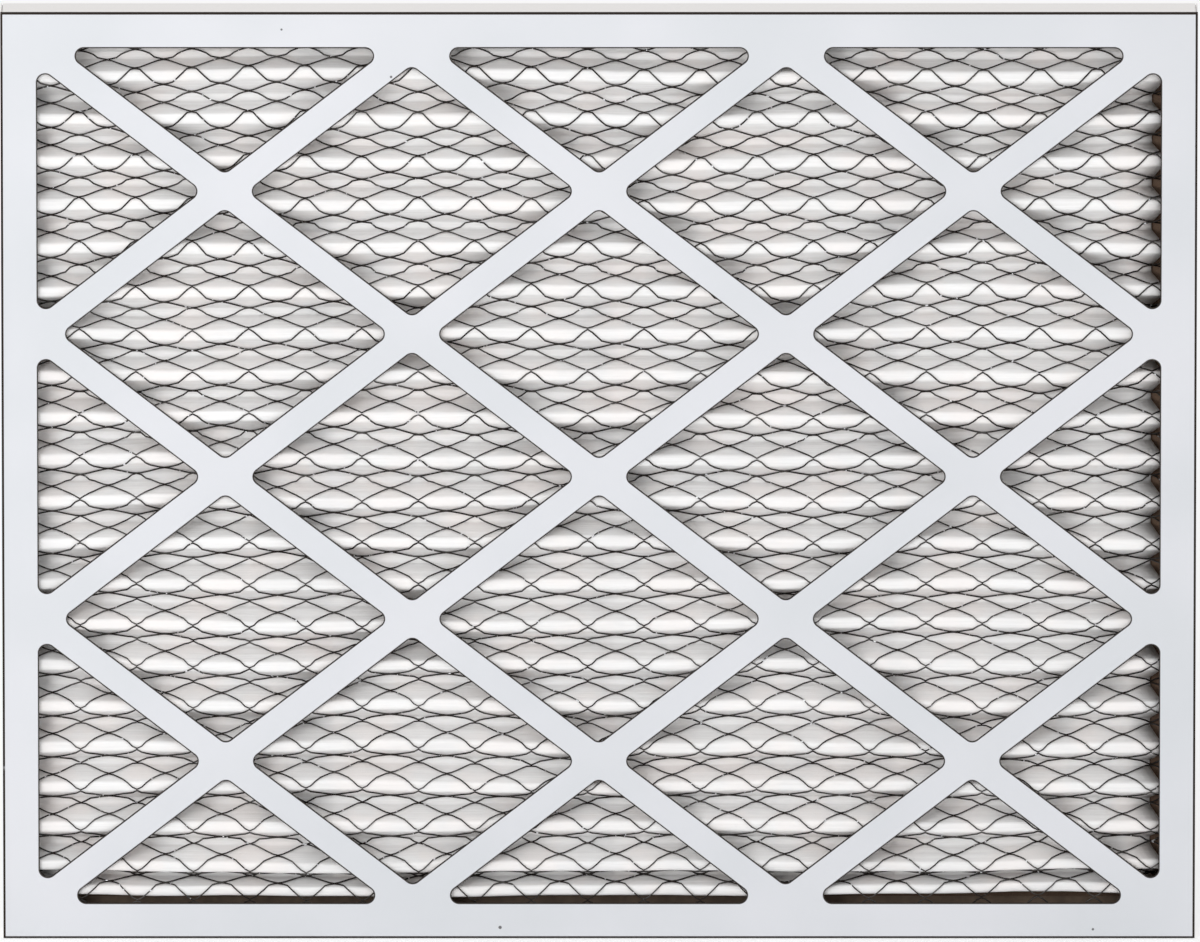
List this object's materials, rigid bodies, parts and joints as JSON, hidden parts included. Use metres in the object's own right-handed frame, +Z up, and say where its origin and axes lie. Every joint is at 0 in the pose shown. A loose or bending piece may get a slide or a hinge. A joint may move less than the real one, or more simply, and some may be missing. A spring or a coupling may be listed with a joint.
{
  "type": "pleated panel air filter",
  "caption": "Rectangular pleated air filter in a folded paperboard frame with a diamond lattice face and an expanded metal mesh over the pleats.",
  "frame": {"origin": "middle of the bottom edge, half way through the depth, on the surface the panel stands on", "axes": "+X along the width, +Y from the latticed front face to the rear face, +Z up the height"},
  "size_m": [0.6224, 0.0222, 0.4953],
  "materials": {
    "coated_board": "satin",
    "kraft_board": "satin",
    "filter_media": "matte",
    "mesh_metal": "satin",
    "adhesive": "matte"
  },
  "bodies": {
    "root": {"front_frame": "coated_board", "rear_frame": "kraft_board", "pleated_media": "filter_media", "support_mesh": "mesh_metal", "front_glue": "adhesive", "rear_glue": "adhesive"}
  },
  "joints": []
}
